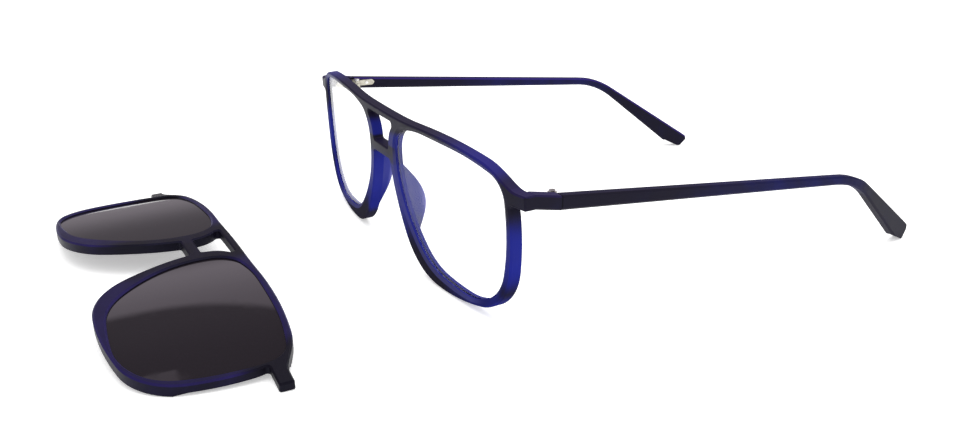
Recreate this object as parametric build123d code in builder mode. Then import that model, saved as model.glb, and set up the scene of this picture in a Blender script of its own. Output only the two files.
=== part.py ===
"""Plastic spectacles with a magnetic sun clip that lies in front of them.

Millimetres. X runs across the face, the temples reach out along +Y and Z is up.
The origin is on the table, at the middle of the footprint of the whole set.
"""

import os
from math import asin, cos, degrees, radians, sin, sqrt, tan

from build123d import *

os.makedirs("parts", exist_ok=True)

# Front: size across, and the curve and lean of its face
front_half_width = 69.8
brow_height = 42.9
face_radius = 331.0
front_thickness = 3.0
front_lean = 3.8
edge_bevel = 0.4
opening_bevel = 0.45
opening_bevel_width = 1.0

# Lens openings, and the rim round them
lens_width = 52.8
lens_height = 38.8
bridge_width = 18.4
rim_bottom = 2.9
rim_temporal = 2.4
rim_nasal = 3.8
groove_depth = 0.6

# Upper and lower bridge bars
brow_bar = 2.0
lower_bar_bottom = 29.4
lower_bar_height = 3.2
corner_round = 0.8
corner_match = 0.02

# Clear lenses
lens_thickness = 1.2
lens_recess = 0.8
lens_clearance = 0.03

# Lugs, which carry the hinges
lug_top = 36.85
lug_height = 3.7
lug_round = 0.6
lug_sink = 1.2
seam_y = 15.1
seam_top = 36.15
seam_gap = 0.1

# Nose pads, moulded in one with the rims
pad_depth = 4.6
pad_splay = 0.65
pad_root_thickness = 2.3
pad_edge_thickness = 1.1
pad_edge_bevel = 0.4
pad_root_sink = 1.2
pad_inset = 0.15

# Temples
temple_thickness = 3.2
temple_slope = 4.95
temple_reach = 148.8
bend_y = 113.2
bend_x = 67.7
bend_radius = 25.0
bend_height = 2.45
bend_thickness = 3.0
tip_angle = 36.6
tip_start_height = 3.0
tip_end_height = 7.2
tip_x = 56.8
tip_heel_y = 140.0
tip_heel_height = 2.9
tip_toe_y = 146.4
tip_toe_height = 2.4
tip_toe_sink = 0.236
tip_corner = 1.2
temple_edge_bevel = 0.5
bend_sections = 7

# Hinges
knuckle_radius = 1.15
knuckle_height = 0.9
knuckle_gap = 0.05
knuckle_count = 3
axis_inset = 2.1
axis_beyond_seam = 0.4
leaf_height = 1.8
leaf_thickness = 1.0
leaf_sunk = 0.3
leaf_clearance = 0.02
front_leaf_length = 5.2
temple_leaf_length = 5.6
leaf_corner = 0.7
neck_clearance = 0.1
screw_radius = 0.45
screw_clearance = 0.05
screw_head_radius = 0.85
screw_head_height = 0.45
slot_width = 0.25
slot_depth = 0.2
fixing_radius = 0.5
fixing_proud = 0.15
fixing_length = 2.2

# Magnets in the lugs and in the ears of the clip
magnet_radius = 1.2
magnet_thickness = 2.0
magnet_clearance = 0.04
magnet_skin = 0.7
magnet_x = 64.0
magnet_height = 35.3

# Sun clip
clip_half_width = 70.3
clip_thickness = 2.7
clip_ear_thickness = 2.0
clip_rim_bottom = 2.1
clip_rim_temporal = 1.9
clip_rim_nasal = 4.0
clip_bevel_width = 0.5
clip_lens_thickness = 1.0
clip_lens_recess = 0.7
clip_magnet_thickness = 1.2
clip_distance = 87.6
clip_shift = 2.2

# One overrun for every cut
overrun = 2.0
face_depth = 20.0

# Stations down the nasal side of a lens and on round it: shares of half its size, and a heading
lens_shares = [
    (-0.99, 0.57, 264), (-0.85, -0.205, 302), (-0.135, -0.96, 351.5), (0.755, -0.825, 36.5),
    (1.0, 0.055, 87), (0.79, 0.877, 166), (-0.37, 1.0, 180.5),
]
# Stations of the outside of a rim, the same way round: shares of half the lens and its rim, and a heading
rim_shares = [
    (-1.002, 0.455, 275), (-0.744, -0.542, 301.5), (-0.203, -0.992, 356), (0.971, -0.327, 80.7),
    (0.735, 0.796, 160), (-0.289, 0.924, 178),
]
# Where a rim of the clip touches the table, as shares like those above
rest_shares = (0.96, -0.39)
# Stations of the brow from the middle to a lug: shares of the half width and the height, and a heading
brow_shares = [(0.308, 1.005, 3), (0.76, 0.974, -9), (0.887, 0.895, -28.5)]
# Stations of a nose pad down the rim: share of half the lens and its rim, and the depth of the pad there
pad_shares = [(0.30, 0.04), (0.12, 0.62), (-0.16, 1.0), (-0.42, 0.56), (-0.70, 0.04)]


def sagitta(x, thickness=0):
    """How far the curved face, or the back of a curved plate, lies behind the middle, x to the side."""
    return face_radius - sqrt((face_radius - thickness) ** 2 - x**2)


lens_half_width = lens_width / 2
lens_half_height = lens_height / 2
lens_x = bridge_width / 2 + lens_half_width
lens_y = rim_bottom + lens_half_height

# The glasses and the clip lie so that the middle of the footprint is the origin
glasses_x = (clip_half_width + clip_shift - front_half_width) / 2
glasses_y = (clip_distance - temple_reach) / 2
middle = Plane(origin=(glasses_x, 0, 0), x_dir=(0, 1, 0), z_dir=(1, 0, 0))

# Face plane of the front: x across, y up the face, z out to the front
front_foot = sagitta(lens_x) * sin(radians(front_lean))
front_face = Plane(
    origin=(glasses_x, glasses_y, -front_foot),
    x_dir=(1, 0, 0),
    z_dir=(0, -cos(radians(front_lean)), -sin(radians(front_lean))),
)

# Face plane of the clip, which lies on its back on its ears and on its lower rims
rest_x = lens_x + rest_shares[0] * (lens_half_width + clip_rim_temporal)
rest_y = lens_y + rest_shares[1] * (lens_half_height + clip_rim_bottom)
ear_bottom = lug_top - lug_height
ear_fall = sagitta(clip_half_width, clip_ear_thickness)
rim_fall = sagitta(rest_x, clip_thickness)
clip_lean = degrees(asin((ear_fall - rim_fall) / (ear_bottom - rest_y)))
clip_rise = ear_fall * cos(radians(clip_lean)) - ear_bottom * sin(radians(clip_lean))
clip_face = Plane(
    origin=(glasses_x - clip_shift, glasses_y - clip_distance, clip_rise),
    x_dir=(1, 0, 0),
    z_dir=(0, -sin(radians(clip_lean)), cos(radians(clip_lean))),
)
clip_middle = Plane(origin=clip_face.origin, x_dir=(0, 1, 0), z_dir=(1, 0, 0))


def curved_sheet(face, depth, thickness):
    """Curved sheet that lies a depth behind the face, as high as the front."""
    across = Plane(
        origin=face.origin - face.z_dir * face_radius - face.y_dir * overrun,
        x_dir=face.x_dir,
        z_dir=face.y_dir,
    )
    with BuildPart() as sheet:
        with BuildSketch(across):
            Circle(face_radius - depth)
            Circle(face_radius - depth - thickness, mode=Mode.SUBTRACT)
        extrude(amount=brow_height + 2 * overrun)
    return sheet.part


def tangent_arcs(stations, closed=False):
    """Smooth chain of arcs through stations, each a point and a heading in degrees."""
    ends = stations[1:] + stations[:1] if closed else stations[1:]
    with BuildLine() as chain:
        for (*start, leaving), (*end, arriving) in zip(stations, ends):
            start, end = Vector(*start), Vector(*end)
            leave = Vector(cos(radians(leaving)), sin(radians(leaving)))
            arrive = Vector(cos(radians(arriving)), sin(radians(arriving)))
            run = end - start
            ahead = run.dot(leave + arrive)
            turn = 2 * (1 - leave.dot(arrive))
            reach = run.dot(run) / (ahead + sqrt(ahead**2 + turn * run.dot(run)))
            joint = (start + end + (leave - arrive) * reach) / 2
            first = TangentArc(start, joint, tangent=leave)
            TangentArc(joint, end, tangent=first % 1)
    return chain.line


def rim_point(across, up, bottom, temporal, nasal):
    """Point of the outside of a rim, from its widths."""
    side = temporal if across > 0 else nasal
    return lens_x + across * (lens_half_width + side), lens_y + up * (lens_half_height + bottom)


def rim_line(*widths):
    """Outside of a rim of these widths at the bottom, the temporal side and the nasal side."""
    stations = [(*rim_point(across, up, *widths), turn) for across, up, turn in rim_shares]
    return tangent_arcs(stations, closed=True)


def silhouette(half_width, rim):
    """Outline of a front with two rims, two bridge bars and two lugs or ears."""
    stations = [(across * front_half_width, up * brow_height, turn) for across, up, turn in brow_shares]
    brow = tangent_arcs([(0, brow_height, 0), *stations, (front_half_width - temple_thickness, lug_top, 0)])
    with BuildSketch() as outline:
        with BuildLine():
            add(brow)
            Polyline(
                (front_half_width - temple_thickness, lug_top),
                (half_width, lug_top),
                (half_width, ear_bottom),
                (magnet_x - magnet_radius, ear_bottom),
                (lens_x, brow_height - brow_bar),
                (0, brow_height - brow_bar),
                (0, brow_height),
            )
        make_face()
        with BuildLine():
            add(rim)
        make_face()
        with Locations((0, lower_bar_bottom)):
            Rectangle(2 * (lens_x - lens_half_width), lower_bar_height, align=(Align.CENTER, Align.MIN))
        mirror(about=Plane.YZ)
        inside = half_width - overrun
        lower_bar_top = lower_bar_bottom + lower_bar_height
        for level in (lower_bar_bottom, lower_bar_top, brow_height - brow_bar, ear_bottom):
            corners = outline.vertices().filter_by_position(Axis.X, -inside, inside)
            fillet(corners.filter_by(lambda corner: abs(corner.Y - level) < corner_match), corner_round)
        fillet(outline.vertices().filter_by(lambda corner: abs(corner.X) > inside), lug_round)
    return outline.sketch


def lens_outline(grow):
    """Outline of the left lens, grown all round."""
    stations = [
        (lens_x + across * (lens_half_width + grow), lens_y + up * (lens_half_height + grow), turn)
        for across, up, turn in lens_shares
    ]
    line = tangent_arcs(stations, closed=True)
    with BuildSketch() as outline:
        with BuildLine():
            add(line)
        make_face()
    return outline.sketch


def lens_openings(grow):
    """Both lens openings as one sketch."""
    with BuildSketch() as openings:
        add(lens_outline(grow))
        mirror(about=Plane.YZ)
    return openings.sketch


def curved_plate(face, outline, depth, thickness):
    """Outline carried through a curved sheet behind the face."""
    with BuildPart() as plate:
        with BuildSketch(face):
            add(outline)
        extrude(amount=face_depth, both=True)
        add(curved_sheet(face, depth, thickness), mode=Mode.INTERSECT)
    return plate.part


def rim_plate(face, outline, thickness, bevel_width):
    """Curved front with bevelled lens openings and bevelled edges."""
    with BuildPart() as plate:
        add(curved_plate(face, outline, 0, thickness))
        add(face_prism(face, lens_openings(0)), mode=Mode.SUBTRACT)
        side = curved_face(plate, face_radius)
        chamfer(opening_edges(side), bevel_width, opening_bevel, reference=side)
        side = curved_face(plate, face_radius)
        chamfer(side.edges() - opening_edges(side), edge_bevel)
    return plate.part


def face_prism(face, outline):
    """Outline drawn on a face plane and carried straight through."""
    with BuildPart() as prism:
        with BuildSketch(face):
            add(outline)
        extrude(amount=face_depth, both=True)
    return prism.part


def curved_face(part, radius):
    """The largest face of a piece with this radius."""
    faces = part.faces().filter_by(GeomType.CYLINDER)
    return faces.filter_by(lambda item: abs(item.radius - radius) < edge_bevel / 2).sort_by(SortBy.AREA)[-1]


def opening_edges(face):
    """Edges of the lens openings in a curved face."""
    wires = [wire for wire in face.inner_wires() if wire.length > lens_width + lens_height]
    return ShapeList([edge for wire in wires for edge in wire.edges()])


def finish(piece, name):
    """Label a piece and write it out."""
    piece.part.label = name
    export_step(piece.part, f"parts/{name}.step")


def finish_pair(piece, name, about):
    """Write out a left piece and its mirror image on the right."""
    with BuildPart() as twin:
        mirror(piece.part, about=about)
    finish(piece, f"{name}_left")
    finish(twin, f"{name}_right")


def spot(x, y, z):
    """Place of a point of the glasses: across, behind the face, and up."""
    return (glasses_x + x, glasses_y + y, z)


def side_top(y):
    """Height of the top of the lug and temple, a distance behind the face."""
    return seam_top - (y - seam_y) * tan(radians(temple_slope))


seam_bottom = seam_top - lug_height
front_rim = rim_line(rim_bottom, rim_temporal, rim_nasal)
front_outline = silhouette(front_half_width, front_rim)

# Lug arm behind the end of the front, as drawn on a plane across the glasses
lug_inner_x = front_half_width - temple_thickness
arm_plane = Plane(origin=spot(lug_inner_x, 0, 0), x_dir=(0, 1, 0), z_dir=(1, 0, 0))


def on_arm(up, depth):
    """Point up the face plane and a depth behind it, as the arm plane sees it."""
    place = front_face.from_local_coords((0, up, -depth))
    return (place.Y - glasses_y, place.Z)


arm_start = sagitta(lug_inner_x) + front_thickness - lug_sink
arm_leave = sagitta(front_half_width) + front_thickness
with BuildPart() as lug_arm:
    with BuildSketch(arm_plane):
        with BuildLine():
            Polyline(
                on_arm(lug_top, arm_start),
                on_arm(lug_top, arm_leave),
                (seam_y, seam_top),
                (seam_y, seam_bottom),
                on_arm(ear_bottom, arm_leave),
                on_arm(ear_bottom, arm_start),
                close=True,
            )
        make_face()
    extrude(amount=temple_thickness)
    long_edges = lug_arm.edges().filter_by(lambda edge: abs(edge.tangent_at(0.5).Y) > 0.5)
    chamfer(long_edges.group_by(Axis.X)[-1], edge_bevel)

# Nose pad: a thin fin that grows out of the back of the rim and leans away from the nose
nasal_side = front_rim.edges().filter_by(lambda edge: edge.center().X < lens_x)


def pad_section(share, depth):
    """Outline of the pad on a level plane that crosses the nasal side of the rim."""
    height = lens_y + share * (lens_half_height + rim_bottom)
    level_line = Edge.make_line((0, height), (lens_x, height))
    crossings = [point for edge in nasal_side for point in edge.intersect(level_line) or ()]
    foot = min(crossings, key=lambda point: point.X)
    back = sagitta(foot.X) + front_thickness
    level = Plane(
        origin=front_face.from_local_coords((0, foot.Y, 0)),
        x_dir=front_face.x_dir,
        z_dir=-front_face.y_dir,
    )
    root_x = foot.X + pad_inset
    reach = depth * pad_depth
    edge_x = root_x + reach * pad_splay
    with BuildSketch(level) as section:
        with BuildLine():
            Polyline(
                (root_x, -back + pad_root_sink),
                (edge_x, -back - reach),
                (edge_x + pad_edge_thickness, -back - reach),
                (root_x + pad_root_thickness, -back + pad_root_sink),
                close=True,
            )
        make_face()
        chamfer(section.vertices().group_by(Axis.Y)[0], pad_edge_bevel)
    return section.sketch


with BuildPart() as nose_pad:
    for share, depth in pad_shares:
        add(pad_section(share, depth))
    loft()

# Hinge: knuckles stand one on another on an upright axis, just inboard of the seam
axis_x = lug_inner_x - axis_inset
axis_y = seam_y + axis_beyond_seam
stack_height = knuckle_count * knuckle_height
stack_bottom = side_top(axis_y) - (lug_height + stack_height) / 2
stack_top = stack_bottom + stack_height
stack_middle = stack_bottom + stack_height / 2
leaf_bottom = stack_middle - leaf_height / 2
leaf_top = leaf_bottom + leaf_height
leaf_outer_x = lug_inner_x + leaf_sunk
leaf_inner_x = leaf_outer_x - leaf_thickness
leaf_gap = knuckle_radius + neck_clearance


def block(corner, opposite, mode=Mode.ADD):
    """Box between two corners given in the places of the glasses."""
    start, end = Vector(*spot(*corner)), Vector(*spot(*opposite))
    with Locations((start + end) / 2):
        Box(*[abs(size) for size in end - start], mode=mode)


def upright(x, y, bottom, radius, height, mode=Mode.ADD):
    """Upright cylinder given in the places of the glasses."""
    with Locations(spot(x, y, bottom)):
        Cylinder(radius, height, align=(Align.CENTER, Align.CENTER, Align.MIN), mode=mode)


def crossways(x, y, z, radius, length, mode=Mode.ADD):
    """Cylinder that runs outwards along X from a point of the glasses."""
    with Locations(Plane(origin=spot(x, y, z), z_dir=(1, 0, 0))):
        Cylinder(radius, length, align=(Align.CENTER, Align.CENTER, Align.MIN), mode=mode)


def hinge_half(levels, side, length):
    """Half a hinge: knuckles, necks and a leaf along the wall, ahead of or behind the axis."""
    leaf_start = axis_y + side * leaf_gap
    leaf_end = leaf_start + side * length
    with BuildPart() as half:
        block((leaf_inner_x, leaf_start, leaf_bottom), (leaf_outer_x, leaf_end, leaf_top))
        far_edges = half.edges().filter_by(Axis.X).sort_by(lambda edge: side * edge.center().Y)[-2:]
        chamfer(far_edges, leaf_corner)
        for level in levels:
            low = stack_bottom + level * knuckle_height + knuckle_gap / 2
            high = low + knuckle_height - knuckle_gap
            upright(axis_x, axis_y, low, knuckle_radius, high - low)
            block((axis_x, axis_y, low), (lug_inner_x - neck_clearance, leaf_start, high))
        upright(axis_x, axis_y, stack_bottom, screw_radius + screw_clearance, stack_height, Mode.SUBTRACT)
        crossways(
            leaf_inner_x, (leaf_start + leaf_end) / 2, stack_middle,
            fixing_radius + screw_clearance, leaf_thickness, Mode.SUBTRACT,
        )
    return half


def leaf_pocket(side, length):
    """Pocket for the leaf and pilot hole for its screw, cut from the piece being built."""
    leaf_start = axis_y + side * leaf_gap
    leaf_end = leaf_start + side * length
    block(
        (lug_inner_x - overrun, leaf_end + side * leaf_clearance, leaf_bottom - leaf_clearance),
        (leaf_outer_x + leaf_clearance, seam_y, leaf_top + leaf_clearance),
        Mode.SUBTRACT,
    )
    crossways(
        leaf_inner_x, (leaf_start + leaf_end) / 2, stack_middle,
        fixing_radius + screw_clearance, leaf_thickness + fixing_length, Mode.SUBTRACT,
    )


def leaf_fixing(side, length):
    """Small headless screw that holds a leaf to its wall and stands a little proud of it."""
    middle_y = axis_y + side * (leaf_gap + length / 2)
    shaft_length = fixing_proud + leaf_thickness + fixing_length - screw_clearance
    with BuildPart() as fixing:
        crossways(leaf_inner_x - fixing_proud, middle_y, stack_middle, fixing_radius, shaft_length)
    return fixing


# Magnets stand on the face plane of whichever piece holds them
def magnet_disc(face, depth, radius, thickness):
    """Round disc a depth behind the face plane, at the left magnet's place."""
    with BuildPart() as disc:
        with BuildSketch(face.offset(-depth)):
            with Locations((magnet_x, magnet_height)):
                Circle(radius)
        extrude(amount=-thickness)
    return disc


magnet_depth = sagitta(magnet_x) + magnet_skin


def lens_grooves(face, recess, thickness):
    """Both lens openings widened to a groove for lenses of this thickness."""
    outline = lens_openings(groove_depth)
    return curved_plate(face, outline, recess - lens_clearance, thickness + 2 * lens_clearance)


def lens_plate(face, recess, thickness):
    """Left lens, curved like its rim, with its edge in the groove."""
    with BuildPart() as plate:
        add(curved_plate(face, lens_outline(groove_depth - lens_clearance), recess, thickness))
    return plate


with BuildPart() as front_frame:
    add(rim_plate(front_face, front_outline, front_thickness, opening_bevel_width))
    add(lens_grooves(front_face, lens_recess, lens_thickness), mode=Mode.SUBTRACT)
    add(lug_arm.part)
    add(nose_pad.part)
    leaf_pocket(-1, front_leaf_length)
    pocket = magnet_disc(front_face, magnet_depth, magnet_radius + magnet_clearance, face_depth)
    add(pocket.part, mode=Mode.SUBTRACT)
    split(bisect_by=middle, keep=Keep.TOP)
    mirror(about=middle)
finish(front_frame, "front_frame")

finish_pair(lens_plate(front_face, lens_recess, lens_thickness), "lens", middle)
finish_pair(magnet_disc(front_face, magnet_depth, magnet_radius, magnet_thickness), "front_magnet", middle)
finish_pair(hinge_half((0, knuckle_count - 1), -1, front_leaf_length), "front_hinge", middle)
finish_pair(hinge_half(range(1, knuckle_count - 1), 1, temple_leaf_length), "temple_hinge", middle)
finish_pair(leaf_fixing(-1, front_leaf_length), "front_leaf_screw", middle)
finish_pair(leaf_fixing(1, temple_leaf_length), "temple_leaf_screw", middle)

with BuildPart() as hinge_screw:
    upright(axis_x, axis_y, stack_bottom, screw_radius, stack_height)
    upright(axis_x, axis_y, stack_top, screw_head_radius, screw_head_height)
    block(
        (axis_x - slot_width / 2, axis_y - screw_head_radius, stack_top + screw_head_height - slot_depth),
        (axis_x + slot_width / 2, axis_y + screw_head_radius, stack_top + screw_head_height),
        Mode.SUBTRACT,
    )
finish_pair(hinge_screw, "hinge_screw", middle)

# Temple: a tapered arm, a bend and a widening tip, all with one bevelled section
temple_start = seam_y + seam_gap
start_x = front_half_width - temple_thickness / 2
knee_x = bend_x - bend_thickness / 2
knee_z = side_top(bend_y) - bend_height / 2
path_start = temple_start - overrun
path_end = temple_reach + overrun
tip_run = (path_end - bend_y) / (temple_reach - bend_y)
tip_drop = (path_end - bend_y) * tan(radians(tip_angle))
with BuildLine() as centre_line:
    FilletPolyline(
        spot(start_x, path_start, side_top(path_start) - lug_height / 2),
        spot(knee_x, bend_y, knee_z),
        spot(knee_x - (bend_x - tip_x) * tip_run, path_end, knee_z - tip_drop),
        radius=bend_radius,
    )
arm_line, bend_line, tip_line = centre_line.edges().sort_by(Axis.Y)


def temple_section(line, share, height, thickness):
    """Bevelled section of the temple, square to its centre line."""
    place = line.position_at(share)
    along = line.tangent_at(share)
    along = along if along.Y > 0 else -along
    outwards = along.cross(Vector(0, 0, 1)).normalized()
    with BuildSketch(Plane(origin=place, x_dir=outwards, z_dir=along)) as section:
        Rectangle(thickness, height)
        chamfer(section.vertices(), temple_edge_bevel)
    return section.sketch


def shares_along(line, count):
    """Shares along a line from its near end to its far end."""
    shares = [number / (count - 1) for number in range(count)]
    return shares if line.position_at(1).Y > line.position_at(0).Y else shares[::-1]


with BuildPart() as temple:
    add(temple_section(arm_line, shares_along(arm_line, 2)[0], lug_height, temple_thickness))
    for number, share in enumerate(shares_along(bend_line, bend_sections)):
        height = bend_height + (tip_start_height - bend_height) * number / (bend_sections - 1)
        add(temple_section(bend_line, share, height, bend_thickness))
    add(temple_section(tip_line, shares_along(tip_line, 2)[1], tip_end_height, bend_thickness))
    loft(ruled=True)
    with BuildSketch(Plane(origin=spot(0, 0, 0), x_dir=(0, 1, 0), z_dir=(1, 0, 0))) as kept:
        with BuildLine():
            Polyline(
                (temple_start, brow_height),
                (temple_reach, brow_height),
                (temple_reach, tip_toe_height),
                (tip_toe_y, -tip_toe_sink),
                (tip_heel_y, tip_heel_height),
                (tip_heel_y - brow_height, brow_height - tip_heel_y),
                (temple_start, -brow_height),
                close=True,
            )
        make_face()
        toes = kept.vertices().filter_by(lambda corner: corner.X > tip_heel_y - tip_corner)
        fillet(toes.filter_by(lambda corner: corner.Y < brow_height / 2), tip_corner)
    extrude(amount=front_half_width + overrun, mode=Mode.INTERSECT)
    leaf_pocket(1, temple_leaf_length)
finish_pair(temple, "temple", middle)

# Sun clip: the same plate with narrower rims and thinner ears
clip_outline = silhouette(clip_half_width, rim_line(clip_rim_bottom, clip_rim_temporal, clip_rim_nasal))
ear_start = magnet_x - magnet_radius - magnet_skin
clip_magnet_depth = sagitta(magnet_x) + clip_ear_thickness - clip_magnet_thickness
with BuildPart() as clip_frame:
    add(rim_plate(clip_face, clip_outline, clip_thickness, clip_bevel_width))
    add(lens_grooves(clip_face, clip_lens_recess, clip_lens_thickness), mode=Mode.SUBTRACT)
    with BuildSketch() as ear_outline:
        with Locations((ear_start, 0)):
            Rectangle(clip_half_width, brow_height + overrun, align=Align.MIN)
    ear_relief = curved_plate(clip_face, ear_outline.sketch, clip_ear_thickness, overrun)
    add(ear_relief, mode=Mode.SUBTRACT)
    pocket = magnet_disc(clip_face, clip_magnet_depth, magnet_radius + magnet_clearance, face_depth)
    add(pocket.part, mode=Mode.SUBTRACT)
    split(bisect_by=clip_middle, keep=Keep.TOP)
    mirror(about=clip_middle)
finish(clip_frame, "clip_frame")

finish_pair(lens_plate(clip_face, clip_lens_recess, clip_lens_thickness), "clip_lens", clip_middle)
clip_magnet = magnet_disc(clip_face, clip_magnet_depth, magnet_radius, clip_magnet_thickness)
finish_pair(clip_magnet, "clip_magnet", clip_middle)
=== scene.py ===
"""Looks for plastic spectacles with a magnetic sun clip lying in front of them.

Places are in metres in the frame of the set: x across, y to the back, z up from the table.
A span is a pair of values between which a mask runs from one tone to another.
"""

from math import cos, radians, sin

import bmesh
import bpy
from mathutils import Matrix, Vector


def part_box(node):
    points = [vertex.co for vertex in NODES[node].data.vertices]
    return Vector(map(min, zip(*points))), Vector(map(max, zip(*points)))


bl_info = {
    "name": "Spectacles with sun clip",
    "version": (1, 0, 0),
    "blender": (4, 5, 0),
    "location": "3D View > Sidebar > Spectacles",
    "description": "Dresses the packed spectacles and their sun clip, and sets their stage",
    "category": "Object",
}

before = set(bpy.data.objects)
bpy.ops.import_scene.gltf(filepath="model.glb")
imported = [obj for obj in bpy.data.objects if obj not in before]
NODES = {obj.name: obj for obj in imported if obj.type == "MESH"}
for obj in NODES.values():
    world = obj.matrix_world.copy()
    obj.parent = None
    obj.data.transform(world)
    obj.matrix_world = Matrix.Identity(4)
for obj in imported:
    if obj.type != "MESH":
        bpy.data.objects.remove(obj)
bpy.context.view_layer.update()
SIDES = ("left", "right")
FRONT_MIDDLE = sum(corner.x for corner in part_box("front_frame")) / 2
CLIP_MIDDLE = sum(corner.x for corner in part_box("clip_frame")) / 2
TEMPLE_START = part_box("temple_left")[0].y

BLACK = (0.0, 0.0, 0.0, 1.0)
WHITE = (1.0, 1.0, 1.0, 1.0)
PLASTIC_BEND = 1.5


class PlasticSettings(bpy.types.PropertyGroup):
    """Colours of the moulded plastic, and of the light and highlights painted on it."""

    thick: bpy.props.FloatVectorProperty(
        name="Thick", description="Colour where the plastic is thick",
        subtype="COLOR", size=3, default=(0.006, 0.005, 0.011),
    )
    # Painted light: the blue that stands for light coming through thin plastic.
    thin: bpy.props.FloatVectorProperty(
        name="Thin", description="Colour where light comes through the plastic",
        subtype="COLOR", size=3, default=(0.007, 0.011, 0.165),
    )
    # Painted light: purple tone of the light coming through the upper edges.
    edge: bpy.props.FloatVectorProperty(
        name="Edge", description="Colour of the upper edges",
        subtype="COLOR", size=3, default=(0.034, 0.014, 0.19),
    )
    # Painted highlight: paler lavender line on the bevels round the clear lenses.
    bevel: bpy.props.FloatVectorProperty(
        name="Bevel", description="Colour of the bevel round the clear lenses",
        subtype="COLOR", size=3, default=(0.055, 0.055, 0.18),
    )
    clip_thick: bpy.props.FloatVectorProperty(
        name="Clip, thick", description="Colour of the clip where it is thick",
        subtype="COLOR", size=3, default=(0.0035, 0.003, 0.006),
    )
    # Painted light: the violet that stands for light coming through the clip.
    clip_thin: bpy.props.FloatVectorProperty(
        name="Clip, thin", description="Colour where light comes through the clip",
        subtype="COLOR", size=3, default=(0.020, 0.013, 0.10),
    )
    pad: bpy.props.FloatVectorProperty(
        name="Nose pad", description="Colour of the thin nose pads",
        subtype="COLOR", size=3, default=(0.10, 0.10, 0.30),
    )
    # Painted glow: the painted light is also given off as emission, at this strength.
    glow: bpy.props.FloatProperty(
        name="Glow", description="Strength of the light that comes through the plastic",
        default=0.35, min=0.0,
    )
    grain: bpy.props.FloatProperty(
        name="Grain", description="Size of the grain left by the mould",
        subtype="DISTANCE", default=0.00035,
    )


class LensSettings(bpy.types.PropertyGroup):
    """Colours of the lenses."""

    sun: bpy.props.FloatVectorProperty(
        name="Sun lens", description="Colour of the sun lenses",
        subtype="COLOR", size=3, default=(0.010, 0.0078, 0.0105),
    )
    bend: bpy.props.FloatProperty(
        name="Bend", description="Refraction of the thin coated lenses", default=1.15, min=1.0, max=2.0,
    )
    # Painted reflection: the rim's navy, painted on the ground edge of a clear lens and given off there as
    # a glow.
    rim: bpy.props.FloatVectorProperty(
        name="Ground edge", description="Tone that the ground edge of a clear lens takes from its rim",
        subtype="COLOR", size=3, default=(0.020, 0.021, 0.13),
    )
    # Painted light: the pale band stands for the ground edge of the far lens seen through it.
    pale_band_light: bpy.props.FloatVectorProperty(
        name="Pale band", description="Tone of the pale band at the outer end of the far clear lens",
        subtype="COLOR", size=3, default=(0.68, 0.68, 0.76),
    )


class StageSettings(bpy.types.PropertyGroup):
    """Camera and light."""

    azimuth: bpy.props.FloatProperty(
        name="Azimuth", description="Turn of the camera about the set",
        subtype="ANGLE", default=radians(62.47),
    )
    elevation: bpy.props.FloatProperty(
        name="Elevation", description="Height of the camera as an angle",
        subtype="ANGLE", default=radians(20.3),
    )
    roll: bpy.props.FloatProperty(
        name="Roll", description="Turn of the camera about its own line",
        subtype="ANGLE", default=radians(1.02),
    )
    place: bpy.props.FloatVectorProperty(
        name="Place", description="Place of the camera",
        subtype="TRANSLATION", size=3, default=(0.27055, -0.1410, 0.1162),
    )
    lens: bpy.props.FloatProperty(
        name="Lens", description="Focal length of the camera in millimetres",
        default=39.85, min=10.0, max=200.0,
    )
    light: bpy.props.FloatProperty(
        name="Light", description="Power of the large overhead light", subtype="POWER", default=8.0,
    )
    wall: bpy.props.FloatProperty(
        name="Wall", description="Brightness of the walls in reflections", default=1.05, min=0.0,
    )
    gap: bpy.props.FloatProperty(
        name="Gap", description="Brightness between the walls and the roof in reflections",
        default=0.22, min=0.0,
    )
    glow: bpy.props.FloatProperty(
        name="Glow", description="Light that the floor gives off", default=0.40, min=0.0,
    )
    floor: bpy.props.FloatVectorProperty(
        name="Floor", description="Colour of the floor",
        subtype="COLOR", size=3, default=(0.93, 0.93, 0.93),
    )


def new_group(name, inputs, outputs):
    """Shader node group with these sockets, given as (name, kind, default)."""
    group = bpy.data.node_groups.new(name, "ShaderNodeTree")
    for label, kind, default in inputs:
        socket = group.interface.new_socket(label, in_out="INPUT", socket_type=kind)
        if default is not None:
            socket.default_value = default
    for label, kind in outputs:
        group.interface.new_socket(label, in_out="OUTPUT", socket_type=kind)
    return group


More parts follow.
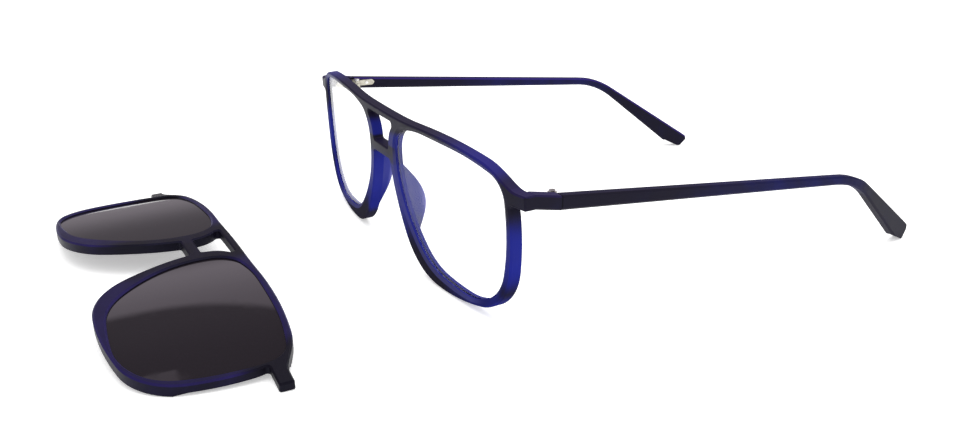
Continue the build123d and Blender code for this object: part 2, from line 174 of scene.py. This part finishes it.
class Maker:
    """Short ways to place and join the nodes of one tree."""

    STEP = 170
    ROW = 10
    DROP = 260

    def __init__(self, tree):
        self.tree = tree
        self.count = 0

    def node(self, kind, **settings):
        """New node, laid out in rows."""
        made = self.tree.nodes.new(kind)
        self.count += 1
        row, column = divmod(self.count, self.ROW)
        made.location = (column * self.STEP, -row * self.DROP)
        for key, value in settings.items():
            setattr(made, key, value)
        return made

    def join(self, source, target):
        """Link from one socket to another."""
        self.tree.links.new(source, target)

    def feed(self, target, value):
        """Link or plain value for a socket."""
        if isinstance(value, bpy.types.NodeSocket):
            self.join(value, target)
        else:
            target.default_value = value

    def feed_all(self, sockets, values):
        """Links or plain values for sockets in turn."""
        for socket, value in zip(sockets, values):
            self.feed(socket, value)

    def sum(self, operation, first, second=0.0, third=0.0):
        """Result of a sum on numbers."""
        made = self.node("ShaderNodeMath", operation=operation)
        self.feed_all(made.inputs, (first, second, third))
        return made.outputs[0]

    def times(self, first, second):
        """Product of two numbers."""
        return self.sum("MULTIPLY", first, second)

    def most(self, first, second):
        """Larger of two numbers."""
        return self.sum("MAXIMUM", first, second)

    def rest(self, value):
        """What is left of one."""
        return self.sum("SUBTRACT", 1.0, value)

    def size(self, value):
        """Number without its sign."""
        return self.sum("ABSOLUTE", value)

    def ramp(self, value, span, start=0.0, end=1.0):
        """Smooth step from start to end while the value crosses the span."""
        made = self.node("ShaderNodeMapRange", interpolation_type="SMOOTHSTEP")
        self.feed_all(made.inputs, (value, *span, start, end))
        return made.outputs[0]

    def fade(self, value, span, start=1.0):
        """Smooth step down to nothing."""
        return self.ramp(value, span, start, 0.0)

    def band(self, value, span, soft):
        """One within the span, nothing beyond, with soft ends."""
        low, high = span
        return self.times(self.ramp(value, (low - soft, low)), self.fade(value, (high, high + soft)))

    def mix(self, share, first, second):
        """Colour between two colours; the sockets that fit the kind are the enabled ones."""
        made = self.node("ShaderNodeMix", data_type="RGBA")
        self.feed_all([s for s in made.inputs if s.enabled], (share, first, second))
        return next(s for s in made.outputs if s.enabled)

    def blend(self, share, first, second):
        """Number between two numbers."""
        made = self.node("ShaderNodeMix", data_type="FLOAT")
        self.feed_all([s for s in made.inputs if s.enabled], (share, first, second))
        return next(s for s in made.outputs if s.enabled)

    def noise(self, place, scale, detail):
        """Soft noise between nought and one."""
        made = self.node("ShaderNodeTexNoise")
        self.join(place, made.inputs["Vector"])
        made.inputs["Scale"].default_value = scale
        made.inputs["Detail"].default_value = detail
        return made.outputs["Fac"]

    def parts(self, vector):
        """The X, Y and Z of a vector."""
        made = self.node("ShaderNodeSeparateXYZ")
        self.join(vector, made.inputs[0])
        return made.outputs


# Detail of a noise.
COARSE = 2.0
FINE = 3.0

WORN_SCALE = 90.0
WORN_SPREAD = 0.16
SPECK_SHARE = 0.10


def mould_grain_group():
    """Fine grain that a matte mould leaves, as a height and a roughness."""
    group = new_group(
        "mould grain",
        [
            ("Place", "NodeSocketVector", None),
            ("Size", "NodeSocketFloat", 0.0003),
            ("Rough", "NodeSocketFloat", 0.5),
        ],
        [("Height", "NodeSocketFloat"), ("Roughness", "NodeSocketFloat")],
    )
    make = Maker(group)
    given = make.node("NodeGroupInput").outputs
    out = make.node("NodeGroupOutput").inputs
    scaled = make.node("ShaderNodeVectorMath", operation="SCALE")
    make.join(given["Place"], scaled.inputs[0])
    make.join(make.sum("DIVIDE", 1.0, given["Size"]), scaled.inputs["Scale"])
    fine = make.noise(scaled.outputs[0], 1.0, COARSE)
    broad = make.noise(given["Place"], WORN_SCALE, COARSE)
    make.join(fine, out["Height"])
    worn = make.sum("MULTIPLY_ADD", broad, WORN_SPREAD, -WORN_SPREAD / 2)
    specks = make.sum("MULTIPLY_ADD", fine, SPECK_SHARE, worn)
    make.join(make.sum("ADD", given["Rough"], specks), out["Roughness"])


CLOUD_SCALE = 140.0
CLOUD_SPREAD = 0.34


def thick_thin_group():
    """Colour of see-through plastic with painted light: the Light share paints the thin colour where light
    would come through, and Top paints the edge light.
    """
    group = new_group(
        "thick and thin plastic",
        [
            ("Place", "NodeSocketVector", None),
            ("Light", "NodeSocketFloat", 0.0),
            ("Top", "NodeSocketFloat", 0.0),
            ("Thick", "NodeSocketColor", (0, 0, 0, 1)),
            ("Thin", "NodeSocketColor", (0, 0, 1, 1)),
            ("Edge", "NodeSocketColor", (0.1, 0, 0.4, 1)),
        ],
        [("Color", "NodeSocketColor")],
    )
    make = Maker(group)
    given = make.node("NodeGroupInput").outputs
    out = make.node("NodeGroupOutput").inputs
    cloud = make.noise(given["Place"], CLOUD_SCALE, FINE)
    moved = make.sum("MULTIPLY_ADD", cloud, CLOUD_SPREAD, -CLOUD_SPREAD / 2)
    share = make.sum("ADD", given["Light"], moved)
    share = make.ramp(share, (0.0, 1.0))
    body = make.mix(share, given["Thick"], given["Thin"])
    # Painted light: the Edge colour laid over upward edges by the Top share.
    make.join(make.mix(given["Top"], body, given["Edge"]), out["Color"])


MARK_STRETCH = (900.0, 9000.0, 14000.0)
MARK_SHARE = 0.22
STAIN_SCALE = 700.0
STAIN_SPAN = (0.35, 0.8)
STAIN_SHARE = 0.45
STAIN = (0.32, 0.29, 0.25, 1.0)


def turned_metal_group():
    """Fine marks round a turned or rolled metal piece."""
    group = new_group(
        "metal marks",
        [
            ("Place", "NodeSocketVector", None),
            ("Rough", "NodeSocketFloat", 0.25),
            ("Tint", "NodeSocketColor", (1, 1, 1, 1)),
        ],
        [
            ("Color", "NodeSocketColor"),
            ("Roughness", "NodeSocketFloat"),
            ("Height", "NodeSocketFloat"),
        ],
    )
    make = Maker(group)
    given = make.node("NodeGroupInput").outputs
    out = make.node("NodeGroupOutput").inputs
    drawn = make.node("ShaderNodeMapping")
    drawn.inputs["Scale"].default_value = MARK_STRETCH
    make.join(given["Place"], drawn.inputs[0])
    marks = make.noise(drawn.outputs[0], 1.0, FINE)
    stain = make.noise(given["Place"], STAIN_SCALE, COARSE)
    stained = make.ramp(stain, STAIN_SPAN, 0.0, STAIN_SHARE)
    make.join(make.mix(stained, given["Tint"], STAIN), out["Color"])
    make.join(make.sum("MULTIPLY_ADD", marks, MARK_SHARE, given["Rough"]), out["Roughness"])
    make.join(marks, out["Height"])


def started(name):
    """New material with a Principled shader, and the maker of its nodes."""
    material = bpy.data.materials.new(name)
    material.use_nodes = True
    make = Maker(material.node_tree)
    shader = next(n for n in material.node_tree.nodes if n.type == "BSDF_PRINCIPLED")
    place = make.node("ShaderNodeTexCoord").outputs["Object"]
    return material, make, shader, place


def grouped(make, group, **given):
    """Node group placed in a material, with values or links for its inputs."""
    made = make.node("ShaderNodeGroup")
    made.node_tree = bpy.data.node_groups[group]
    for label, value in given.items():
        make.feed(made.inputs[label], value)
    return made.outputs


def bumped(make, shader, height, strength, distance):
    """Height joined to a shader as bump."""
    bump = make.node("ShaderNodeBump")
    bump.inputs["Strength"].default_value = strength
    bump.inputs["Distance"].default_value = distance
    make.join(height, bump.inputs["Height"])
    make.join(bump.outputs[0], shader.inputs["Normal"])


def facing(make):
    """Parts of the normal of the surface, in the frame of the set."""
    return make.parts(make.node("ShaderNodeNewGeometry").outputs["Normal"])


def coloured(make, shader, colour):
    """Colour joined to a plastic, as its own colour and as a painted glow for the light that comes through
    it.
    """
    make.join(colour, shader.inputs["Base Color"])
    make.join(colour, shader.inputs["Emission Color"])


def dress(node, material):
    """Give a CAD piece its finish."""
    piece = NODES[node]
    piece.data.materials.clear()
    piece.data.materials.append(material)


PLASTIC_SHINE = 0.1
PLASTIC_SHINE_TINT = (0.72, 0.74, 1.0, 1.0)
GRAIN_STRENGTH = 0.25
GRAIN_DEPTH = 0.00004


def plastic_finish(name, light, top, rough, thick, thin):
    """Matte see-through navy plastic; light and top are painted-light masks made from the place and the
    normal.

    The glow is painted: an emission that stands for the light that thin places let through.
    """
    settings = bpy.context.scene.spectacle_plastic
    material, make, shader, place = started(name)
    normal = facing(make)
    parts = make.parts(place)
    colour = grouped(
        make,
        "thick and thin plastic",
        Place=place,
        Light=light(make, parts, normal),
        Top=top(make, parts, normal),
        Thick=(*thick, 1.0),
        Thin=(*thin, 1.0),
        Edge=(*settings.edge, 1.0),
    )["Color"]
    grain = grouped(make, "mould grain", Place=place, Size=settings.grain, Rough=rough)
    coloured(make, shader, colour)
    # Painted glow: the plastic gives off its own colour though it is no lamp.
    shader.inputs["Emission Strength"].default_value = settings.glow
    make.join(grain["Roughness"], shader.inputs["Roughness"])
    bumped(make, shader, grain["Height"], GRAIN_STRENGTH, GRAIN_DEPTH)
    shader.inputs["IOR"].default_value = PLASTIC_BEND
    shader.inputs["Specular IOR Level"].default_value = PLASTIC_SHINE
    shader.inputs["Specular Tint"].default_value = PLASTIC_SHINE_TINT
    return material, make, shader, colour, parts


def middle_distance(make, parts, middle):
    """Distance of a place from the middle plane of a piece."""
    return make.size(make.sum("SUBTRACT", parts["X"], middle))


# Painted light: where the front is painted as letting light through, and how much: by height, by distance
# from the middle and, for INNER_WALL and FACE_TURN, by the way its surface faces.
RIM_FADE = (0.024, 0.033)
RIM_SHARE = 0.85
FOOT = (0.0060, 0.0175)
FOOT_SHARE = 0.1
INNER_WALL = (0.2, 0.6)
INNER_WALL_SHARE = 0.9
SHOULDER = (0.026, 0.054)
SHOULDER_SHARE = 0.6
LUG = (0.057, 0.064)
NASAL = (0.0135, 0.0175)
NASAL_SHARE = 0.7
BROW = (0.0365, 0.0395)
LOWER_BAR = (0.0292, 0.0330)
LOWER_BAR_SOFT = 0.001
LOWER_BAR_END = (0.0085, 0.0098)
FACE_TURN = (0.55, 1.0)
FACE_SHARE = 0.75


def front_light(make, parts, normal):
    """Painted light: thin rims of the front are painted as letting light through; the bars, the lugs and
    the foot of a rim are not.
    """
    across = middle_distance(make, parts, FRONT_MIDDLE)
    height = parts["Z"]
    inner_wall = make.ramp(normal["Z"], INNER_WALL, 0.0, INNER_WALL_SHARE)
    foot = make.most(make.ramp(height, FOOT, FOOT_SHARE), inner_wall)
    rims = make.times(make.fade(height, RIM_FADE, RIM_SHARE), foot)
    shoulder = make.times(make.ramp(across, SHOULDER, 0.0, SHOULDER_SHARE), make.fade(across, LUG))
    nasal = make.times(make.fade(across, NASAL, NASAL_SHARE), make.fade(height, BROW))
    bar = make.times(make.band(height, LOWER_BAR, LOWER_BAR_SOFT), make.fade(across, LOWER_BAR_END))
    nasal = make.times(nasal, make.rest(bar))
    most = make.most(make.most(rims, shoulder), nasal)
    return make.times(most, make.ramp(make.size(normal["Y"]), FACE_TURN, 1.0, FACE_SHARE))


# How far up a surface faces, from nought on an upright wall to one on a level top.
FLAT_TOP = (0.80, 0.97)
SLOPED = (0.50, 0.85)
SLOPED_SOFT = 0.08

# Shares of the painted purple edge light on the front.
FRONT_FLAT_SHARE = 0.20
FRONT_SLOPED_SHARE = 0.12
FRONT_EDGE_SPAN = (0.018, 0.060)
BRIDGE_EDGE_SHARE = 0.25


def front_edge_light(make, parts, normal):
    """Painted light: upward edges of the front take a purple tone of light coming through them, which
    grows from the bridge to the lugs.
    """
    across = middle_distance(make, parts, FRONT_MIDDLE)
    flat = make.ramp(normal["Z"], FLAT_TOP, 0.0, FRONT_FLAT_SHARE)
    sloped = make.times(make.band(normal["Z"], SLOPED, SLOPED_SOFT), FRONT_SLOPED_SHARE)
    return make.times(make.most(flat, sloped), make.ramp(across, FRONT_EDGE_SPAN, BRIDGE_EDGE_SHARE))


# Where and how much the temples are painted as letting light through.
TEMPLE_LIGHT_START = (0.0, 0.05)
TEMPLE_LIGHT_END = (0.078, 0.094)
TIP_SHARE = 0.15
TEMPLE_SHARE = 0.27
# INWARD and the two shares below place the painted purple edge light on the temples.
INWARD = (0.0, 0.3)
TEMPLE_FLAT_SHARE = 0.06
TEMPLE_SLOPED_SHARE = 0.42


def temple_light(make, parts, normal):
    """Painted light: the temples are painted as letting a little light through between the hinge and the
    tip.
    """
    start = make.ramp(parts["Y"], TEMPLE_LIGHT_START)
    end = make.ramp(parts["Y"], TEMPLE_LIGHT_END, 1.0, TIP_SHARE)
    return make.times(make.times(start, end), TEMPLE_SHARE)


def temple_edge_light(make, parts, normal):
    """Painted light: the purple tone of light coming through a temple lies on the upper edge that faces
    the other temple.
    """
    side = make.sum("SIGN", make.sum("SUBTRACT", FRONT_MIDDLE, parts["X"]))
    inward = make.ramp(make.times(normal["X"], side), INWARD)
    sloped = make.times(make.band(normal["Z"], SLOPED, SLOPED_SOFT), TEMPLE_SLOPED_SHARE)
    flat = make.ramp(normal["Z"], FLAT_TOP, 0.0, TEMPLE_FLAT_SHARE)
    return make.most(flat, make.times(sloped, inward))


# Shares of the painted violet light on the clip, by the way its surfaces face.
CLIP_FACE = (0.93, 0.985)
CLIP_FACE_SHARE = 0.36
CLIP_SLOPED = (0.55, 0.93)
CLIP_SLOPED_SOFT = 0.05
CLIP_SLOPED_SHARE = 0.48
CLIP_WALL = (0.1, 0.4)
CLIP_WALL_SHARE = 0.16
EAR_ACROSS = (0.052, 0.060)
EAR_ALONG = (-0.094, -0.086)
CLIP_BRIDGE = (0.010, 0.016)
CLIP_BRIDGE_SHARE = 0.7


def clip_light(make, parts, normal):
    """Painted light: the clip takes a painted violet on its upper faces, more on its bevels, less at its
    bridge, not at its ears.
    """
    face = make.ramp(normal["Z"], CLIP_FACE, 0.0, CLIP_FACE_SHARE)
    sloped = make.times(make.band(normal["Z"], CLIP_SLOPED, CLIP_SLOPED_SOFT), CLIP_SLOPED_SHARE)
    wall = make.fade(make.size(normal["Z"]), CLIP_WALL, CLIP_WALL_SHARE)
    most = make.most(make.most(face, sloped), wall)
    across = middle_distance(make, parts, CLIP_MIDDLE)
    ear = make.times(make.ramp(across, EAR_ACROSS), make.ramp(parts["Y"], EAR_ALONG))
    bridge = make.times(make.fade(across, CLIP_BRIDGE), CLIP_BRIDGE_SHARE)
    return make.times(most, make.rest(make.most(ear, bridge)))


def no_edge(make, parts, normal):
    """No purple tone."""
    return 0.0


FRONT_ROUGH = 0.42
PAD_BACK = (-0.0262, -0.0240)
PAD_ACROSS = (0.019, 0.0205)
PAD_TOP = (0.028, 0.031)
# Where the painted highlight lies on the bevels of the lens openings.
BEVEL_TURN = (0.86, 0.93)
BEVEL_SOFT = 0.02
BEVEL_TOP = (0.030, 0.036)
BEVEL_SHARE = 0.42
MATTE = (0.008, 0.022)
MATTE_SHARE = 0.5


class SPECTACLES_OT_front(bpy.types.Operator):
    """Give the moulded front its see-through navy finish, with painted light and painted highlights"""

    bl_idname = "spectacles.front"
    bl_label = "Front"

    def execute(self, context):
        settings = context.scene.spectacle_plastic
        material, make, shader, colour, parts = plastic_finish(
            "navy front", front_light, front_edge_light, FRONT_ROUGH, settings.thick, settings.thin,
        )
        # Painted highlight on the bevels; then the pale own colour of the nose pads.
        tint = make.mix(self.bevels(make, parts), colour, (*settings.bevel, 1.0))
        tint = make.mix(self.pads(make, parts), tint, (*settings.pad, 1.0))
        coloured(make, shader, tint)
        grain = shader.inputs["Roughness"].links[0].from_socket
        matte = make.fade(parts["Z"], MATTE, MATTE_SHARE)
        make.join(make.sum("ADD", grain, matte), shader.inputs["Roughness"])
        dress("front_frame", material)
        return {"FINISHED"}

    def pads(self, make, parts):
        """Where the nose pads stand out behind the rims."""
        across = middle_distance(make, parts, FRONT_MIDDLE)
        pad = make.times(make.ramp(parts["Y"], PAD_BACK), make.fade(across, PAD_ACROSS))
        return make.times(pad, make.fade(parts["Z"], PAD_TOP))

    def bevels(self, make, parts):
        """Share of the painted paler highlight on the bevels of the lens openings."""
        turned = make.size(facing(make)["Y"])
        bevel = make.times(make.band(turned, BEVEL_TURN, BEVEL_SOFT), make.fade(parts["Z"], BEVEL_TOP))
        return make.times(bevel, BEVEL_SHARE)


TEMPLE_ROUGH = 0.5
# Painted shade: a dark line at the start of each temple, where the gap between front and temple is in
# shade.
SEAM_SHADE_WIDTH = 0.0005
SEAM_SHADE_SHARE = 0.85


class SPECTACLES_OT_temples(bpy.types.Operator):
    """Give both temples their matte navy finish, with painted light and a painted shade line at the seam
    """

    bl_idname = "spectacles.temples"
    bl_label = "Temples"

    def execute(self, context):
        settings = context.scene.spectacle_plastic
        material, make, shader, colour, parts = plastic_finish(
            "navy temple", temple_light, temple_edge_light, TEMPLE_ROUGH, settings.thick, settings.thin,
        )
        # Painted shade in the gap between the front and the temple.
        seam_shade = make.fade(parts["Y"], (TEMPLE_START, TEMPLE_START + SEAM_SHADE_WIDTH), SEAM_SHADE_SHARE)
        coloured(make, shader, make.mix(seam_shade, colour, BLACK))
        for side in SIDES:
            dress(f"temple_{side}", material)
        return {"FINISHED"}


CLIP_ROUGH = 0.38


class SPECTACLES_OT_clip(bpy.types.Operator):
    """Give the frame of the sun clip its darker navy finish, with painted violet light"""

    bl_idname = "spectacles.clip"
    bl_label = "Clip frame"

    def execute(self, context):
        settings = context.scene.spectacle_plastic
        material = plastic_finish(
            "navy clip", clip_light, no_edge, CLIP_ROUGH, settings.clip_thick, settings.clip_thin,
        )[0]
        dress("clip_frame", material)
        return {"FINISHED"}


CLEAR = (0.985, 0.99, 1.0, 1.0)
CLEAR_SMEAR_SCALE = 120.0
CLEAR_SMEAR = (0.45, 0.9)
CLEAR_SMEAR_ROUGH = 0.02
GROUND_EDGE_TURN = (0.3, 0.6)
# Place of the painted pale band on the far lens.
# The outer end of the far lens lies at x = drop - FAR_END, and drop grows with the square of the height
# above or below FAR_MIDDLE_HEIGHT.
FAR_END = 0.0613
FAR_MIDDLE_HEIGHT = 0.026
FAR_CURVE = 31000.0
FAR_SLOPE = 2.5
PALE_BAND = (0.0056, 0.0062)


class SPECTACLES_OT_clear_lenses(bpy.types.Operator):
    """Make the clear lenses polished and see-through, with painted light at their ground edges and on the
    far lens
    """

    bl_idname = "spectacles.clear_lenses"
    bl_label = "Clear lenses"

    def execute(self, context):
        material, make, shader, place = started("clear lens")
        settings = context.scene.spectacle_lenses
        shader.inputs["Transmission Weight"].default_value = 1.0
        shader.inputs["IOR"].default_value = settings.bend
        smear = make.noise(place, CLEAR_SMEAR_SCALE, FINE)
        make.join(make.ramp(smear, CLEAR_SMEAR, 0.0, CLEAR_SMEAR_ROUGH), shader.inputs["Roughness"])
        # Painted reflection: the ground edge takes the rim's navy as its colour and glows with it.
        edge = make.fade(make.size(facing(make)["Y"]), GROUND_EDGE_TURN)
        rim = (*settings.rim, 1.0)
        clear = make.mix(self.pale_band_mask(make, make.parts(place)), CLEAR, (*settings.pale_band_light, 1.0))
        make.join(make.mix(edge, clear, rim), shader.inputs["Base Color"])
        make.join(make.mix(edge, BLACK, rim), shader.inputs["Emission Color"])
        shader.inputs["Emission Strength"].default_value = 1.0
        self.pass_light(material, make, shader)
        for side in SIDES:
            dress(f"lens_{side}", material)
        return {"FINISHED"}

    def pale_band_mask(self, make, parts):
        """Painted light: pale band at the outer end of the far lens, where its ground edge shows through
        it.
        """
        rise = make.sum("SUBTRACT", parts["Z"], FAR_MIDDLE_HEIGHT)
        square = make.times(rise, rise)
        drop = make.times(square, make.sum("MULTIPLY_ADD", square, FAR_CURVE, FAR_SLOPE))
        inside = make.sum("SUBTRACT", make.sum("ADD", parts["X"], FAR_END), drop)
        return make.fade(inside, PALE_BAND)

    def pass_light(self, material, make, shader):
        """Shadow rays and diffuse rays go straight through, so that the rims behind a lens stay lit."""
        output = next(n for n in material.node_tree.nodes if n.type == "OUTPUT_MATERIAL")
        through = make.node("ShaderNodeBsdfTransparent")
        rays = make.node("ShaderNodeLightPath").outputs
        choose = make.node("ShaderNodeMixShader")
        straight = make.most(rays["Is Shadow Ray"], rays["Is Diffuse Ray"])
        make.feed_all(choose.inputs, (straight, shader.outputs[0], through.outputs[0]))
        make.join(choose.outputs[0], output.inputs["Surface"])


SUN_TONE_SCALE = 25.0
SUN_LIGHTER = 1.25
SUN_SMEAR_SCALE = 300.0
SUN_SMEAR = (0.4, 0.9)
SUN_POLISHED = 0.03
SUN_SMEARED = 0.09
SUN_SHINE_TINT = (1.0, 0.93, 1.0, 1.0)


class SPECTACLES_OT_sun_lenses(bpy.types.Operator):
    """Make the sun lenses dark and polished"""

    bl_idname = "spectacles.sun_lenses"
    bl_label = "Sun lenses"

    def execute(self, context):
        material, make, shader, place = started("sun lens")
        dark = tuple(context.scene.spectacle_lenses.sun)
        light = tuple(SUN_LIGHTER * part for part in dark)
        tone = make.noise(place, SUN_TONE_SCALE, COARSE)
        make.join(make.mix(tone, (*dark, 1.0), (*light, 1.0)), shader.inputs["Base Color"])
        smear = make.noise(place, SUN_SMEAR_SCALE, FINE)
        rough = make.ramp(smear, SUN_SMEAR, SUN_POLISHED, SUN_SMEARED)
        make.join(rough, shader.inputs["Roughness"])
        shader.inputs["IOR"].default_value = PLASTIC_BEND
        shader.inputs["Specular Tint"].default_value = SUN_SHINE_TINT
        for side in SIDES:
            dress(f"clip_lens_{side}", material)
        return {"FINISHED"}


# Name, tint, roughness and pieces of each metal.
METALS = (
    ("nickel silver hinge", (0.52, 0.50, 0.42, 1.0), 0.22, ("front_hinge", "temple_hinge")),
    (
        "turned screw", (0.82, 0.81, 0.79, 1.0), 0.14,
        ("hinge_screw", "front_leaf_screw", "temple_leaf_screw"),
    ),
    ("nickel magnet", (0.66, 0.66, 0.67, 1.0), 0.18, ("front_magnet", "clip_magnet")),
)
MARK_STRENGTH = 0.15
MARK_DEPTH = 0.00001


class SPECTACLES_OT_metal(bpy.types.Operator):
    """Give the hinges, the screws and the magnets their metal finishes"""

    bl_idname = "spectacles.metal"
    bl_label = "Metal pieces"

    def execute(self, context):
        for name, tint, rough, nodes in METALS:
            material, make, shader, place = started(name)
            marks = grouped(make, "metal marks", Place=place, Rough=rough, Tint=tint)
            make.join(marks["Color"], shader.inputs["Base Color"])
            make.join(marks["Roughness"], shader.inputs["Roughness"])
            bumped(make, shader, marks["Height"], MARK_STRENGTH, MARK_DEPTH)
            shader.inputs["Metallic"].default_value = 1.0
            for node in nodes:
                for side in SIDES:
                    dress(f"{node}_{side}", material)
        return {"FINISHED"}


FLOOR_HALF = 6.0
FLOOR_DROP = 0.0001
PAPER_SCALE = 600.0
PAPER_DARKER = 0.985
FLOOR_ROUGH = 0.7
FLOOR_SHINE = 0.2

# The room that reflections show, by the height of a direction from nought at the horizon to one overhead.
HORIZON = (0.05, 0.22)
HORIZON_TONES = (0.45, 0.26)
WALL_FOOT = (0.39, 0.48)
WALL_RISE = (0.48, 0.62)
WALL_TOP_SHARE = 0.8
WALL_END = (0.567, 0.591)
GAP_RISE = (0.62, 0.74)
GAP_TOP_TONE = 0.17
ROOF = (0.80, 0.86)
# The upper end of the walls rises with the square of how far a direction points to the back.
BRIM_START = 0.09
BRIM_CURVE = 5.1
WINDOW_RISE = (0.738, 0.790)
WINDOW_RISE_SOFT = 0.004
WINDOW_ALONG = (0.060, 0.098)
WINDOW_ALONG_SOFT = 0.003
WINDOW_TONE = 0.6
REFLECTED_TINT = (1.0, 0.91, 1.0, 1.0)

LAMP_SIZE = 1.5
LAMP_PLACE = (0.0, 0.1, 1.3)
SENSOR_WIDTH = 36.0
CLIP_START = 0.01


class SPECTACLES_OT_stage(bpy.types.Operator):
    """Set the pale floor, the soft light and the camera"""

    bl_idname = "spectacles.stage"
    bl_label = "Stage"

    def execute(self, context):
        settings = context.scene.spectacle_stage
        self.lay_floor(settings)
        self.light_room(settings)
        self.hang_lamp(settings)
        self.aim_camera(settings)
        return {"FINISHED"}

    def lay_floor(self, settings):
        """White paper under the set, which glows a little so that it stays white in the picture."""
        mesh = bpy.data.meshes.new("floor")
        shape = bmesh.new()
        bmesh.ops.create_grid(shape, x_segments=1, y_segments=1, size=FLOOR_HALF)
        shape.to_mesh(mesh)
        shape.free()
        floor = bpy.data.objects.new("floor", mesh)
        floor.location.z = -FLOOR_DROP
        bpy.context.scene.collection.objects.link(floor)
        material, make, shader, place = started("pale floor")
        paper = make.noise(place, PAPER_SCALE, COARSE)
        tone = (*settings.floor, 1.0)
        darker = tuple(PAPER_DARKER * part for part in tone)
        make.join(make.mix(paper, tone, darker), shader.inputs["Base Color"])
        shader.inputs["Roughness"].default_value = FLOOR_ROUGH
        shader.inputs["Specular IOR Level"].default_value = FLOOR_SHINE
        shader.inputs["Emission Color"].default_value = WHITE
        shader.inputs["Emission Strength"].default_value = settings.glow
        floor.data.materials.append(material)

    def light_room(self, settings):
        """Even white light, and a room with walls, a gap, a window and a roof for reflections."""
        world = bpy.data.worlds.new("studio")
        world.use_nodes = True
        bpy.context.scene.world = world
        make = Maker(world.node_tree)
        background = world.node_tree.nodes["Background"]
        toward = make.parts(make.node("ShaderNodeTexCoord").outputs["Generated"])
        height, along = toward["Z"], toward["Y"]
        wall = make.times(make.ramp(height, WALL_FOOT), make.ramp(height, WALL_RISE, 1.0, WALL_TOP_SHARE))
        wall = make.most(make.ramp(height, HORIZON, *HORIZON_TONES), make.times(wall, settings.wall))
        window = make.times(
            make.band(height, WINDOW_RISE, WINDOW_RISE_SOFT),
            make.band(along, WINDOW_ALONG, WINDOW_ALONG_SOFT),
        )
        upper = make.most(make.ramp(height, GAP_RISE, settings.gap, GAP_TOP_TONE), make.ramp(height, ROOF))
        upper = make.most(upper, make.times(window, WINDOW_TONE))
        beyond = make.most(make.sum("SUBTRACT", along, BRIM_START), 0.0)
        brim = make.times(make.times(beyond, beyond), BRIM_CURVE)
        shown = make.blend(make.ramp(make.sum("SUBTRACT", height, brim), WALL_END), wall, upper)
        rays = make.node("ShaderNodeLightPath").outputs
        glossy = make.times(rays["Is Glossy Ray"], make.rest(rays["Is Transmission Ray"]))
        strength = make.sum("ADD", make.times(shown, glossy), make.rest(glossy))
        make.join(make.mix(glossy, WHITE, REFLECTED_TINT), background.inputs["Color"])
        make.join(strength, background.inputs["Strength"])
        bpy.context.scene.view_settings.view_transform = "Standard"

    def hang_lamp(self, settings):
        """One large soft lamp over the set."""
        lamp = bpy.data.lights.new("overhead", "AREA")
        lamp.shape = "SQUARE"
        lamp.size = LAMP_SIZE
        lamp.energy = settings.light
        light = bpy.data.objects.new("overhead", lamp)
        light.location = LAMP_PLACE
        bpy.context.scene.collection.objects.link(light)

    def aim_camera(self, settings):
        """Camera at the place from which the photograph was taken."""
        turn, rise, roll = settings.azimuth, settings.elevation, settings.roll
        back = Vector((sin(turn) * cos(rise), -cos(turn) * cos(rise), sin(rise)))
        right = (-back).cross(Vector((0, 0, 1))).normalized()
        up = right.cross(-back)
        across = right * cos(roll) + up * sin(roll)
        upright = up * cos(roll) - right * sin(roll)
        turned = Matrix((across, upright, back)).transposed().to_4x4()
        data = bpy.data.cameras.new("camera")
        data.lens = settings.lens
        data.sensor_width = SENSOR_WIDTH
        data.clip_start = CLIP_START
        camera = bpy.data.objects.new("camera", data)
        camera.matrix_world = Matrix.Translation(settings.place) @ turned
        bpy.context.scene.collection.objects.link(camera)
        bpy.context.scene.camera = camera


class SPECTACLES_PT_panel(bpy.types.Panel):
    """Lists what dresses the spectacles"""

    bl_label = "Spectacles"
    bl_idname = "SPECTACLES_PT_panel"
    bl_space_type = "VIEW_3D"
    bl_region_type = "UI"
    bl_category = "Spectacles"

    def draw(self, context):
        column = self.layout.column(align=True)
        for operator in OPERATORS:
            column.operator(operator.bl_idname)
        for group in GROUPS:
            settings = getattr(context.scene, group)
            box = self.layout.box()
            for name in settings.bl_rna.properties.keys():
                if name not in ("rna_type", "name"):
                    box.prop(settings, name)


OPERATORS = (
    SPECTACLES_OT_front,
    SPECTACLES_OT_temples,
    SPECTACLES_OT_clip,
    SPECTACLES_OT_clear_lenses,
    SPECTACLES_OT_sun_lenses,
    SPECTACLES_OT_metal,
    SPECTACLES_OT_stage,
)
GROUPS = {
    "spectacle_plastic": PlasticSettings,
    "spectacle_lenses": LensSettings,
    "spectacle_stage": StageSettings,
}


def register():
    """Register the settings, the operators and the panel."""
    for name, group in GROUPS.items():
        bpy.utils.register_class(group)
        setattr(bpy.types.Scene, name, bpy.props.PointerProperty(type=group))
    for item in (*OPERATORS, SPECTACLES_PT_panel):
        bpy.utils.register_class(item)


def unregister():
    """Take them all away again."""
    for item in (SPECTACLES_PT_panel, *reversed(OPERATORS)):
        bpy.utils.unregister_class(item)
    for name, group in GROUPS.items():
        delattr(bpy.types.Scene, name)
        bpy.utils.unregister_class(group)


def main():
    """Dress the set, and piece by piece."""
    register()
    mould_grain_group()
    thick_thin_group()
    turned_metal_group()
    for operator in OPERATORS:
        package, name = operator.bl_idname.split(".")
        getattr(getattr(bpy.ops, package), name)()


if __name__ == "__main__":
    main()
